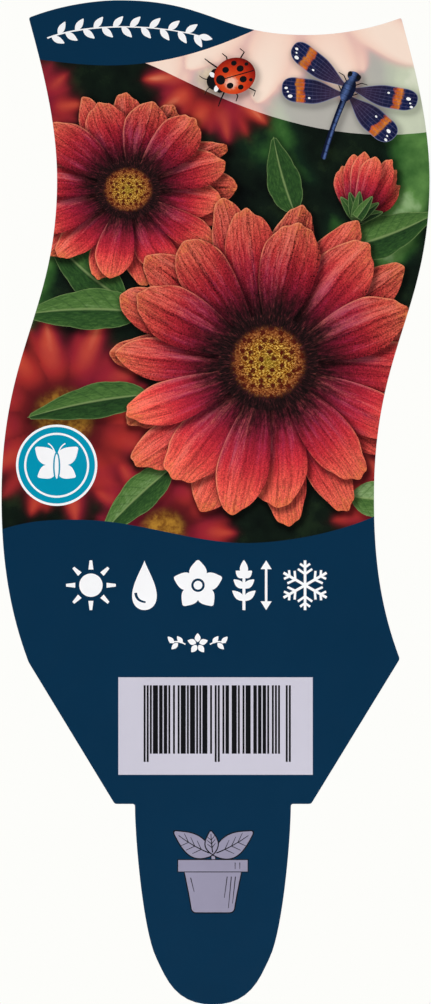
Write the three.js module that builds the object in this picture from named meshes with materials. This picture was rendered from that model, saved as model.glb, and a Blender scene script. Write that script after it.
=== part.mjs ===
// A stick-in plant label: one flat sheet of printed plastic, die-cut to its outline.
//
// Millimetres, +Z up. The printed front faces -Y and +X is to its right. The origin is on the back of
// the sheet, in the middle of the stake's top, level with the shoulders that stop at the soil. So what
// stands out of the pot is above z = 0, and what is pushed into the soil is below it.
import * as THREE from 'three';

// Sheet
const sheetThickness = 0.5;
const cutterRadius = 0.4; // the cutting rule eases every corner, inside and outside

// Sides: both follow the same slow S, one band width apart
const bandWidth = 63.7;
const topCorner = { x: -31.5, z: 134.4, lean: 0.27, reach: 8 };
const bulge = { x: -26.65, z: 106.7, reachUp: 10, reachDown: 22.7 };
const waist = { x: -36.15, z: 52.4, reachUp: 25.6, reachDown: 9.3 };
const foot = { x: -31.5, z: 24.2, lean: 0.38, reach: 9.6 };
const rightFootRise = 0.6; // the right side meets its bevel this much higher up

// Top edge: one hump, then one hollow
const topEdgeStart = { slope: 0.4, reach: 5.9 };
const hump = { x: -16.1, z: 137.4, reachLeft: 3.2, reachRight: 15.8 };
const hollow = { x: 16, z: 131.45, reachLeft: 15.1, reachRight: 6.1 };
const topEdgeEnd = { slope: 0.376, reach: 4.6 };

// Stake: it leaves the body between two shoulders, narrows, and ends in a round tip
const shoulderHalfWidth = 16.8;
const stakeHalfWidth = 13.35;
const stakeLength = 34.3;
const stakeReach = 5.8; // how far down the stake its flanks stay upright
const nose = { halfWidth: 9.67, depth: 26.4, lean: 0.49, reachUp: 4.7, reachDown: 3.3, tipReach: 6.5 };

// Facets of the curved edges
const facetLength = 1.5;
const cornerFacets = 3;

const at = (x, z) => new THREE.Vector2(x, z);

// A curve between two points. It leaves the first and arrives at the second along the given handles.
function bend(start, leaving, arriving, end) {
  return new THREE.CubicBezierCurve(start, start.clone().add(leaving), end.clone().sub(arriving), end);
}

// Curves that run on into each other without a corner
function edge(...curves) {
  const path = new THREE.CurvePath();
  path.curves.push(...curves);
  return path;
}

// Where the two sides end and the straight bevels to the shoulders begin
const leftFoot = at(foot.x, foot.z);
const rightFoot = at(foot.x + bandWidth - foot.lean * rightFootRise, foot.z + rightFootRise);

// The S of a side, from the top corner down to its foot, moved sideways by shift
function side(shift, bottom) {
  const top = at(topCorner.x + shift, topCorner.z);
  const out = at(bulge.x + shift, bulge.z);
  const narrow = at(waist.x + shift, waist.z);
  return edge(
    bend(top, at(topCorner.lean, -1).multiplyScalar(topCorner.reach), at(0, -bulge.reachUp), out),
    bend(out, at(0, -bulge.reachDown), at(0, -waist.reachUp), narrow),
    bend(narrow, at(0, -waist.reachDown), at(foot.lean, -1).multiplyScalar(foot.reach), bottom),
  );
}

// The same edge, walked the other way
function reversed(path) {
  return edge(...path.curves.map((c) => new THREE.CubicBezierCurve(c.v3, c.v2, c.v1, c.v0)).reverse());
}

// The wave of the top edge, from the left corner to the right one
function topEdge() {
  const start = at(topCorner.x, topCorner.z);
  const high = at(hump.x, hump.z);
  const low = at(hollow.x, hollow.z);
  const end = at(topCorner.x + bandWidth, topCorner.z);
  return edge(
    bend(start, at(1, topEdgeStart.slope).multiplyScalar(topEdgeStart.reach), at(hump.reachLeft, 0), high),
    bend(high, at(hump.reachRight, 0), at(hollow.reachLeft, 0), low),
    bend(low, at(hollow.reachRight, 0), at(1, topEdgeEnd.slope).multiplyScalar(topEdgeEnd.reach), end),
  );
}

// The stake, down its right flank, round the tip and up its left flank
function stake() {
  const rightFlank = at(stakeHalfWidth, 0);
  const rightNose = at(nose.halfWidth, -nose.depth);
  const tip = at(0, -stakeLength);
  const downTheFlank = at(-nose.lean, -1).multiplyScalar(nose.reachUp);
  const roundTheNose = at(-nose.lean, -1).multiplyScalar(nose.reachDown);
  const right = [
    bend(rightFlank, at(0, -stakeReach), downTheFlank, rightNose),
    bend(rightNose, roundTheNose, at(-nose.tipReach, 0), tip),
  ];
  const mirror = (point) => at(-point.x, point.y);
  const left = right.map(
    (c) => new THREE.CubicBezierCurve(mirror(c.v3), mirror(c.v2), mirror(c.v1), mirror(c.v0)),
  );
  return edge(...right, ...left.reverse());
}

const straight = (start, end) => edge(new THREE.LineCurve(start, end));

// The edges clockwise from the top left corner. Each one ends where the next begins.
function outlineEdges() {
  return [
    topEdge(),
    side(bandWidth, rightFoot),
    straight(rightFoot, at(shoulderHalfWidth, 0)),
    straight(at(shoulderHalfWidth, 0), at(stakeHalfWidth, 0)),
    stake(),
    straight(at(-stakeHalfWidth, 0), at(-shoulderHalfWidth, 0)),
    straight(at(-shoulderHalfWidth, 0), leftFoot),
    reversed(side(0, leftFoot)),
  ];
}

// The points of an edge, stopping one cutter radius short of the corners at its ends
function pointsAlong(path) {
  const length = path.getLength();
  const isStraight = path.curves.length === 1;
  const facets = isStraight ? 1 : Math.ceil(length / facetLength);
  const trim = cutterRadius / length;
  return Array.from({ length: facets + 1 }, (_, i) =>
    path.getPoint(trim + ((1 - 2 * trim) * i) / facets),
  );
}

// The closed outline, with every corner between two edges rounded
function outline() {
  const edges = outlineEdges();
  const runs = edges.map(pointsAlong);
  return runs.flatMap((run, i) => {
    const corner = edges[i].getPoint(1);
    const next = runs[(i + 1) % runs.length];
    const round = new THREE.QuadraticBezierCurve(run.at(-1), corner, next[0]);
    return [...run, ...round.getPoints(cornerFacets).slice(1, -1)];
  });
}

// The label sheet: the outline drawn in x and z, made solid from the back, y = 0, to the front
function labelSheet() {
  const geometry = new THREE.ExtrudeGeometry(new THREE.Shape(outline()), {
    depth: sheetThickness,
    steps: 1,
    bevelEnabled: false,
  });
  const printedPlastic = new THREE.MeshStandardMaterial({
    color: 0x0c314c,
    roughness: 0.42,
    metalness: 0,
  });
  const sheet = new THREE.Mesh(geometry, printedPlastic);
  sheet.name = 'label_sheet';
  sheet.rotation.x = Math.PI / 2; // stand it up: the drawn height becomes z, the depth goes towards -y
  return sheet;
}

const plantLabel = new THREE.Group();
plantLabel.add(labelSheet());

export default plantLabel;
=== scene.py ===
"""A stick-in plant label: one flat sheet of white plastic, printed and varnished on the front and
die-cut with its stake. All print is drawn in millimetres on the front, x to the right and z up."""

from functools import partial

import bpy
import numpy as np
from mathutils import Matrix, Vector
from mathutils.geometry import delaunay_2d_cdt


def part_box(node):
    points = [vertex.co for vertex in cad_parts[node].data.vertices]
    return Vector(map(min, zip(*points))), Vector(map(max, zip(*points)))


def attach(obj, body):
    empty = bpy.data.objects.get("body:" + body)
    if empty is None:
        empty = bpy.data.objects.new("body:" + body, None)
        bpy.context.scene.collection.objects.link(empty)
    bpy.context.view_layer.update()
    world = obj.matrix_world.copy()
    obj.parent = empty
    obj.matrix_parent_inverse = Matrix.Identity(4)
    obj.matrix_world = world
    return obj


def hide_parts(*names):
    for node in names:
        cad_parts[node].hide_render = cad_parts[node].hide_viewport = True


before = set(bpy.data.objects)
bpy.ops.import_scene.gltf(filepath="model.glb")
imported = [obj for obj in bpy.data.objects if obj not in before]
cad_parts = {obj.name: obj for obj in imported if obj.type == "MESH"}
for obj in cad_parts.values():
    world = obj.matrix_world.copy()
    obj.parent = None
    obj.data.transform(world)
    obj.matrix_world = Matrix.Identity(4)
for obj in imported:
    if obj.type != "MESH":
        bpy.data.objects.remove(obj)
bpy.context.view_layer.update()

# --- The cut sheet ---
# White polystyrene sheet, half a millimetre thick, cut by a steel rule in one stroke. The cut edge
# stays white and its two rims are very slightly rounded. Ink covers the front right up to the rim.

MM = 0.001
rim_round = 0.025


def cut_line(sheet):
    """The cutter's path in mm: the edges that only one triangle of the front uses, chained into a
    loop that runs anticlockwise seen from the front."""
    places = np.empty(len(sheet.data.vertices) * 3)
    sheet.data.vertices.foreach_get("co", places)
    places = np.round(places.reshape(-1, 3) / MM, decimals=4)  # so that triangles share corners
    sides = np.empty(len(sheet.data.polygons) * 3, int)
    sheet.data.polygons.foreach_get("vertices", sides)
    merged, same = np.unique(places, axis=0, return_inverse=True)
    triangles = same.ravel()[sides].reshape(-1, 3)
    front = triangles[np.all(merged[triangles][:, :, 1] < merged[:, 1].mean(), axis=1)]
    return merged[rim_loop(front, merged[:, [0, 2]])][:, [0, 2]]


def rim_loop(triangles, flat):
    """The loop of rim corners, each followed by the one its only triangle leads to."""
    a, b, c = flat[triangles].transpose(1, 0, 2)
    area = np.cross(b - a, c - a)
    triangles = np.where(area[:, None] > 0, triangles, triangles[:, ::-1])
    starts = triangles.ravel()
    ends = np.roll(triangles, -1, axis=1).ravel()
    size = len(flat)
    lone = ~np.isin(starts * size + ends, ends * size + starts)
    after = dict(zip(starts[lone].tolist(), ends[lone].tolist()))
    loop = [next(iter(after))]
    while after[loop[-1]] != loop[0]:
        loop.append(after[loop[-1]])
    return np.array(loop)


def outward(loop):
    """The unit normal of each corner of an anticlockwise loop: the mean of its two sides' normals."""
    along = np.roll(loop, -1, axis=0) - loop
    along /= np.linalg.norm(along, axis=1, keepdims=True)
    normal = np.stack([along[:, 1], -along[:, 0]], axis=1)
    normal += np.roll(normal, 1, axis=0)
    return normal / np.linalg.norm(normal, axis=1, keepdims=True)


sheet_low, sheet_high = (np.array(corner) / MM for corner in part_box("label_sheet"))
cut = cut_line(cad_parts["label_sheet"])
face = cut - rim_round * outward(cut)

# --- The varnished inks ---
# Offset inks under one coat of satin varnish. The varnish evens out the gloss of all the inks, and
# has the faint ripple that a roller leaves.


def ink(red, green, blue):
    """A printer's colour from 0 to 255, as linear light by the standard screen curve."""
    seen = np.array([red, green, blue]) / 255
    return (*np.where(seen <= 0.04045, seen / 12.92, ((seen + 0.055) / 1.055) ** 2.4), 1.0)


class Field:
    """A number, colour or place that changes over the sheet, as an ink's nodes work it out. It is
    added, subtracted, multiplied and divided like a number, and stands left of plain numbers, but
    can be subtracted from one."""

    def __init__(self, tree, socket):
        self.tree, self.socket = tree, socket

    def put(self, operation, *others):
        """The outcome of a sum, product or function of this field and the others."""
        return node(self.tree, "ShaderNodeMath", enumerate((self, *others)), operation=operation)

    def __add__(self, other):
        return self.put("ADD", other)

    def __sub__(self, other):
        return self.put("SUBTRACT", other)

    def __rsub__(self, other):
        return self * -1 + other

    def __mul__(self, other):
        return self.put("MULTIPLY", other)

    def __truediv__(self, other):
        return self.put("DIVIDE", other)

    def __abs__(self):
        return self.put("ABSOLUTE")


def node(tree, kind, inputs=(), output=0, **settings):
    """One output of a new node, with its settings made and its inputs set or linked. Sockets go by
    their names, or by their numbers where several share a name."""
    made = tree.nodes.new(kind)
    for name, value in settings.items():
        setattr(made, name, value)
    for key, value in dict(inputs).items():
        if isinstance(value, Field):
            tree.links.new(value.socket, made.inputs[key])
        else:
            made.inputs[key].default_value = value
    return Field(tree, made.outputs[output])


def step(value, low, high, start=0.0, end=1.0):
    """start below low, end above high, and a smooth S between them."""
    inputs = {"Value": value, "From Min": low, "From Max": high, "To Min": start, "To Max": end}
    return node(value.tree, "ShaderNodeMapRange", inputs, interpolation_type="SMOOTHSTEP")


def speckle(place, scale, detail=2.0, roughness=0.5):
    """Cloudy noise from 0 to 1, with so many clouds to a unit of length."""
    inputs = {"Vector": place, "Scale": scale, "Detail": detail, "Roughness": roughness}
    return node(place.tree, "ShaderNodeTexNoise", inputs)


ripple_height = 0.02 * MM


def finished(name, paint, ripple_scale, rough_low, rough_high, bump_share, specular):
    """A material whose colour paint gives, from the node tree and the place on the sheet. Its
    roughness and its bump follow a ripple of so many waves to a metre."""
    material = bpy.data.materials.new(name)
    material.use_nodes = True
    tree = material.node_tree
    shader = tree.nodes["Principled BSDF"]
    place = node(tree, "ShaderNodeTexCoord", output="Object")
    ripple = speckle(place, ripple_scale, 3)
    rough = step(ripple, 0.25, 0.75, rough_low, rough_high)
    relief = {"Strength": bump_share, "Distance": ripple_height, "Height": ripple}
    bump = node(tree, "ShaderNodeBump", relief)
    for socket, field in (("Base Color", paint(tree, place)), ("Roughness", rough), ("Normal", bump)):
        tree.links.new(field.socket, shader.inputs[socket])
    shader.inputs["Specular IOR Level"].default_value = specular
    return material


inks = {}


def varnished(name, paint):
    """Adds an ink to the press: its own colour, under the varnish that all the inks share."""
    inks[name] = finished(
        name, paint, ripple_scale=260, rough_low=0.235, rough_high=0.265, bump_share=0.06, specular=0.3
    )


prints = []


def print_shape(ink_name, outline, grain=None, seed=0.0, rim=False, shadow=0.0, light=(), bloom=None):
    """Lays a closed shape over all that is printed so far. grain turns places on the sheet into the
    shape's own along and across, and bloom into places on the bloom that it belongs to. rim has it
    know how far in from its edge each place is. shadow is how much it darkens what lies beside it,
    and light is how its two directions face the light, and how bright it is."""
    outline = np.asarray(outline)
    if np.cross(outline, np.roll(outline, -1, axis=0)).sum() < 0:  # every outline runs anticlockwise
        outline = outline[::-1]
    shape = {"ink": ink_name, "outline": outline, "grain": grain, "seed": seed, "bloom": bloom}
    prints.append({**shape, "rim": rim, "shadow": shadow, "light": light})


# --- The out-of-focus ground of the picture ---
# Behind the sharp blooms the picture is dark earth and shade, with soft red blooms and soft green
# leaves. Each soft thing is a field over the sheet: how far it covers, and how well it is lit.

soft_blooms = [  # centre, radius, petals, turn, softness, light where 1 is full sun
    ((-25.5, 66.0), 20.0, 12, 8, 1.6, 0.9),
    ((-31.5, 119.0), 10.5, 9, 3, 1.8, 1.0),
    ((-8.5, 46.5), 15.5, 12, 0, 1.5, 0.8),
    ((31.5, 50.5), 12.5, 10, 14, 1.6, 0.85),
    ((0.5, 125.0), 14.0, 11, 20, 1.6, 1.05),
]
veil_blooms = [  # paler ones, in the part of the picture that the veil covers
    ((-8.0, 143.5), 25.0, 10, 12, 1.0, 1.66),
    ((14.0, 144.5), 28.5, 11, 27, 1.0, 1.9),
]
soft_leaves = [  # centre, half length, half width, turn, softness, light
    ((31.0, 98.0), 13.0, 4.6, 62, 2.4, 0.95),
    ((24.5, 92.5), 10.0, 3.2, 118, 2.2, 0.6),
    ((34.0, 113.0), 11.0, 4.6, 98, 2.3, 0.85),
    ((35.0, 127.0), 12.0, 6.0, 80, 2.5, 0.9),
    ((12.0, 114.0), 8.0, 2.6, 105, 2.0, 0.5),
    ((-30.0, 92.0), 10.0, 3.6, 75, 2.0, 0.85),
    ((-33.0, 82.0), 8.0, 2.6, 40, 1.8, 0.55),
    ((10.5, 110.5), 9.0, 2.6, 150, 2.0, 0.35),
    ((-3.5, 58.0), 9.0, 2.2, 20, 2.0, 0.25),
]


def turned(points, degrees):
    """Points turned anticlockwise about the origin."""
    angle = np.radians(degrees)
    across = np.array([[np.cos(angle), np.sin(angle)], [-np.sin(angle), np.cos(angle)]])
    return np.asarray(points) @ across


def soft_step(value):
    """0 well below zero, 1 well above it, and a half at zero."""
    return 1 / (1 + np.exp(-value))


stray = 2.5  # degrees that a petal turns by chance


def soft_ring(away, radius, petals, turn, blur, draw):
    """How far one ring of blurred petals covers each place, and its light. A place belongs to the
    petal nearest to it round the middle. Each petal has its own length, turn and brightness. Its
    half width follows the root of a sine, and its light grows along it and falls to its sides."""
    round_it = np.degrees(np.arctan2(away[:, 1], away[:, 0])) - turn
    number = np.round(round_it * petals / 360).astype(int) % petals
    length = radius * draw.uniform(0.84, 1.0, petals)[number]
    heading = turn + number * 360 / petals + draw.normal(0, stray, petals)[number]
    bright = draw.uniform(0.74, 1.08, petals)[number]
    unit = np.stack([np.cos(np.radians(heading)), np.sin(np.radians(heading))])
    along, across = (away.T * unit).sum(0), away[:, 1] * unit[0] - away[:, 0] * unit[1]
    share = np.clip(along / length, 0, 1)
    widest = 1.72 * radius / petals
    half = widest * np.sin(np.pi * share**1.3) ** 0.5
    cover = soft_step((half - np.abs(across)) / blur - 0.8) * soft_step((1.02 * length - along) / blur)
    sideways = np.clip(across / (half + blur), -1, 1)
    return cover, bright * (0.4 + 0.6 * share) * (1 - 0.6 * sideways**2)


collar_share, heart_share, under_share = 0.36, 0.23, 0.88  # of a soft bloom's radius


def soft_bloom(places, centre, radius, petals, turn, softness, lit):
    """How far a blurred bloom covers each place, its light and its heart: a darker, shorter ring of
    petals shows between the upper ones, and a dark collar lies round the heart."""
    draw = np.random.default_rng(int(turn) + petals)
    away = places - centre
    reach = np.hypot(*away.T)
    blur = softness * 0.3
    under, lower = soft_ring(away, under_share * radius, petals, turn + 180 / petals, blur, draw)
    over, upper = soft_ring(away, radius, petals, turn, blur, draw)
    collar = soft_step((collar_share * radius - reach) / (0.05 * radius))
    light = 0.62 * lower * (1 - over) + upper * over
    light = lit * light * (1 - collar) + 0.1 * collar
    heart = np.exp(-((reach / (heart_share * radius)) ** 6))
    return 1 - (1 - over) * (1 - under) * (1 - collar), light, heart


def soft_leaf(places, centre, half_length, half_width, turn, softness, lit):
    """How far a blurred leaf covers each place, and its light, palest along the middle. Its half
    width is a parabola along it."""
    along, across = turned(places - centre, -turn).T
    width = half_width * np.clip(1 - (along / half_length) ** 2, 0, 1) + 1e-6
    cover = soft_step((width - np.abs(across)) / (softness * 0.3))
    cover *= soft_step((half_length - np.abs(along)) / (softness * 0.4))
    return cover, lit * (0.6 + 0.4 * np.exp(-((across / half_width) ** 2)))


def ground_fields(places, veil):
    """Red cover, green cover, gold cover and light of the soft ground, later things over earlier.
    The picture under the veil has blooms of its own."""
    red, green, gold, light = (np.zeros(len(places)) for _ in range(4))
    for leaf in soft_leaves:
        cover, lit = soft_leaf(places, *leaf)
        green = green + (1 - green) * cover
        light = light * (1 - cover) + lit * cover
    for bloom in soft_blooms + veil_blooms:
        cover, lit, heart = soft_bloom(places, *bloom)
        cover = cover * (veil if bloom in veil_blooms else 1)
        red = red * (1 - cover) + cover
        green = green * (1 - cover)
        gold = gold * (1 - cover) + heart * cover
        light = light * (1 - cover) + lit * cover
    return np.stack([red, green, gold], axis=1), light


def parts(place):
    """The three numbers of a place."""
    split = node(place.tree, "ShaderNodeSeparateXYZ", {"Vector": place})
    return [Field(place.tree, socket) for socket in split.socket.node.outputs]


def carried(tree, name):
    """The three numbers that a printed shape carries under this name."""
    return parts(node(tree, "ShaderNodeAttribute", output="Vector", attribute_name=name))


def mix(share, first, second):
    """The first colour where the share is 0, the second where it is 1."""
    inputs = {"Factor": share, "A": first, "B": second}
    return node(share.tree, "ShaderNodeMix", inputs, output="Result", data_type="RGBA")


def ramp(value, *stops):
    """Colours along a value from 0 to 1. Each stop gives its place, then a printer's colour."""
    made = node(value.tree, "ShaderNodeValToRGB", {"Fac": value})
    bands = made.socket.node.color_ramp.elements
    while len(bands) < len(stops):
        bands.new(0.5)
    for stop, (place, *colour) in zip(bands, stops):
        stop.position = place
        stop.color = ink(*colour)
    return made


def scaled(colour, factor):
    """A colour made lighter or darker by a factor."""
    return node(factor.tree, "ShaderNodeVectorMath", {0: colour, "Scale": factor}, operation="SCALE")


veil_strength, shadow_strength = 0.68, 0.8
veil_white = (1.0, 0.965, 0.93, 1.0)
screen_gamma = 2.2


def veiled(tree, colour):
    """The pale veil printed over the picture's top: it thins every colour towards warm white, in
    steps that look even to the eye. Then comes the shadow of what is printed above."""
    shade, _, veil = carried(tree, "tone")
    seen = node(tree, "ShaderNodeGamma", {"Color": colour, "Gamma": 1 / screen_gamma})
    thinned = mix(veil * veil_strength, seen, veil_white)
    thinned = node(tree, "ShaderNodeGamma", {"Color": thinned, "Gamma": screen_gamma})
    return scaled(thinned, 1 - shade * shadow_strength)


def paint_ground(tree, place):
    """Dark cloudy earth, under green where leaves cover it, red where petals do, and gold hearts."""
    red, green, gold = carried(tree, "grain")
    light = carried(tree, "light")[0]
    cloud = speckle(place, 140, 4, 0.6)
    earth = ramp(cloud, (0.3, 6, 11, 10), (0.55, 15, 26, 18), (0.8, 36, 52, 30))
    leaf = ramp(
        light * 0.9 + (cloud - 0.5) * 1.1 + 0.02,
        (0.2, 18, 40, 26),
        (0.55, 50, 92, 42),
        (0.85, 92, 136, 70),
        (1, 140, 172, 118),
    )
    petal = ramp(
        light * 0.5 + cloud * 0.1,
        (0.05, 40, 12, 16),
        (0.17, 104, 26, 30),
        (0.3, 168, 46, 42),
        (0.42, 204, 78, 56),
        (0.54, 242, 144, 104),
        (0.8, 255, 196, 158),
    )
    flush = step(speckle(place, 85, 2), 0.42, 0.62, 0.0, 0.55) * step(light, 0.45, 1.0, 1.0, 0.15)
    petal = mix(flush, petal, ink(136, 24, 54))
    florets = step(speckle(place, 1000, 2, 0.6), 0.3, 0.7)
    heart = mix(florets, ink(112, 66, 24), ink(176, 126, 44))
    return veiled(tree, mix(gold, mix(red, mix(green, earth, leaf), petal), heart))


varnished("ground_ink", paint_ground)
print_shape("ground_ink", face)

# --- Leaves and stems of the picture ---
# Sharp green leaves between the blooms, drawn as blades: a bent rib, a width that swells and runs
# out to a point, and a few blunt teeth. The veins follow the blade.

sun_heading = 124
sun = turned([1, 0], sun_heading)  # where the picture's light comes from, on the sheet


def facing_sun(degrees, bright=1.0):
    """How a blade's left side and its end face the light, and how bright it is."""
    return (*(turned([[0, 1], [1, 0]], degrees) @ sun), bright)


flank_points, end_points = 18, 29


def blade(base, degrees, length, half_width, sway, profile, tip):
    """A leaf or petal. Its rib starts at base and bends sideways by sway times the square of the
    share of its length. profile gives the half width at each share, and tip the share from which
    the end has an edge of its own."""

    def laid(share, across):
        """The rib's place at this share of the length, moved across by so many half widths."""
        rib = np.stack([share * length, across * half_width * profile(share)], axis=1)
        rib[:, 1] += sway * share**2
        return turned(rib, degrees) + base

    def grain(places):
        """The way back: a place's share of the length, and its half widths from the rib."""
        along, side = turned(places - base, -degrees).T
        share = along / length
        width = half_width * profile(np.clip(share, 0, 1))
        return np.stack([share, (side - sway * share**2) / width], axis=1)

    flank = np.linspace(0, tip["from"], flank_points)
    over = np.sin(np.linspace(-np.pi / 2, np.pi / 2, end_points))[1:-1]  # close set at both sides
    right = laid(flank, -np.ones(len(flank)))
    end = laid(tip["edge"](over), over)
    left = laid(flank[::-1], np.ones(len(flank)))
    return np.concatenate([right, end, left]), grain


tooth_depth, tooth_run = 0.07, 11


def leaf_profile(share):
    """Swells from the stalk to a third of the length, then narrows to the point, with blunt teeth."""
    teeth = 1 + tooth_depth * np.abs(np.sin(share * tooth_run))
    return (0.1 + 0.9 * np.sin(np.pi * np.clip(share, 0, 1) ** 0.72)) * teeth


leaf_tip = {"from": 0.97, "edge": lambda across: 1.0 - 0.03 * np.abs(across) ** 0.5}
sharp_leaves = [  # base, turn, length, half width, sway, paleness
    ((-15.0, 86.0), 148, 18.0, 3.6, -3.0, 0.3),
    ((-12.0, 84.0), 172, 21.0, 3.4, 3.5, 0.7),
    ((22.0, 95.0), 12, 17.0, 3.4, 2.5, 0.5),
    ((14.0, 101.0), 112, 13.5, 2.8, -1.5, 0.2),
    ((-11.0, 70.0), 184, 21.0, 2.9, 2.5, 0.4),
    ((23.5, 52.6), -8, 14.0, 3.2, 1.5, 1.6),
    ((-7.0, 57.5), 217, 17.0, 2.9, 2.0, 0.8),
]


def band(value, width):
    """1 where the value is 0, fading to 0 at this width on both sides."""
    return step(abs(value), 0.0, width, 1.0, 0.0)


def lines(value, width):
    """Fine lines wherever the value is a whole number."""
    return step(value.put("PINGPONG", 0.5), 0.0, width, 1.0, 0.0)


def point(x, y, z):
    """A place made of three numbers."""
    return node(x.tree, "ShaderNodeCombineXYZ", {"X": x, "Y": y, "Z": z})


def paint_leaf(tree, place):
    """Green tissue, darker on the half that faces away from the sun, with slanting side veins, a
    pale rib and a pale edge."""
    along, across, pale = carried(tree, "grain")
    edge = carried(tree, "tone")[1]
    lit_across = carried(tree, "light")[0]
    side = abs(across)
    veins = lines(along * 9 - side * 1.6, 0.12)
    tissue = speckle(point(along, across * 0.6, pale), 16, 5, 0.72)
    halves = step(across, -0.12, 0.12, 1.0, -1.0) * lit_across * -0.14
    swelling = (side - 0.5) * halves * 1.2
    light = tissue * 0.75 + halves - swelling + pale * 0.25
    colour = ramp(light, (0.2, 20, 42, 24), (0.45, 46, 80, 38), (0.7, 82, 118, 58), (1, 138, 166, 112))
    colour = mix(veins * 0.35, colour, ink(34, 62, 34))
    colour = mix(band(across, 0.1) * 0.6, colour, ink(146, 168, 108))
    return veiled(tree, mix(band(edge, 0.2) * tissue * 0.8, colour, ink(146, 170, 108)))


def print_blade(ink_name, base, degrees, form, seed, shadow, bright=1.0, bloom=None):
    """Prints a blade with its rim and its light. form is its length, half width, sway, profile and
    tip."""
    outline, grain = blade(base, degrees, *form)
    light = facing_sun(degrees, bright)
    print_shape(ink_name, outline, grain, seed, rim=True, shadow=shadow, light=light, bloom=bloom)


varnished("leaf_ink", paint_leaf)
stalk = (17.0, 0.5, -1.6, np.ones_like, leaf_tip)
print_blade("leaf_ink", np.array([20.4, 84.0]), 80, stalk, seed=0.6, shadow=0.5)
for base, degrees, length, half_width, sway, pale in sharp_leaves:
    form = (length, half_width, sway, leaf_profile, leaf_tip)
    print_blade("leaf_ink", np.array(base), degrees, form, seed=pale, shadow=0.55)

# --- The sharp blooms ---
# Two open composite blooms, each with two rings of petals with three-lobed ends, a dark hairy collar
# and a domed golden heart of florets. Above them a half-open bloom stands in its cup of bracts.


def petal_form(draw):
    """Half width along a petal, and its end, no two alike: a narrow foot, widest past the middle,
    and a rounded end, 1 - |across|^power to a root, with three low lobes."""
    widest, arch, power = draw.uniform(0.56, 0.76), draw.uniform(0.22, 0.36), draw.uniform(1.7, 2.5)
    depth, lean = draw.uniform(0.006, 0.03), draw.normal(0, 0.05)
    start = 0.99 - arch - depth

    def profile(share):
        """A quarter wave up to the widest share, then a slow fall by its square."""
        swell = 0.3 + 0.7 * np.sin(np.pi / 2 * np.clip(share / widest, 0, 1))
        return swell * (1 - 0.2 * np.clip((share - widest) / 0.25, 0, 1) ** 2)

    def edge(across):
        """The dome, three lobes on a cosine, and a lean to one side."""
        lobes = depth * (0.5 + 0.5 * np.cos(3 * np.pi * across))
        dome = arch * (1 - np.abs(across) ** power) ** 0.58
        return start + dome + lobes + lean * across * (1 - across**2)

    return profile, {"from": start, "edge": edge}


def hairs(tree):
    """How far out from the bloom's middle each place is, in shares of its radius, and fine hairs
    that run outwards: noise drawn out along the radius."""
    x, y, _ = carried(tree, "bloom")
    out = (x * x + y * y).put("SQRT")
    return out, speckle(point(x / out * 26, y / out * 26, out * 22), 1.0, 4, 0.75)


def fluff(hair):
    """The collar's dark hairs, with a few pale ones."""
    return ramp(hair, (0.38, 15, 10, 10), (0.54, 38, 18, 20), (0.65, 82, 34, 36), (0.74, 152, 92, 76))


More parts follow.
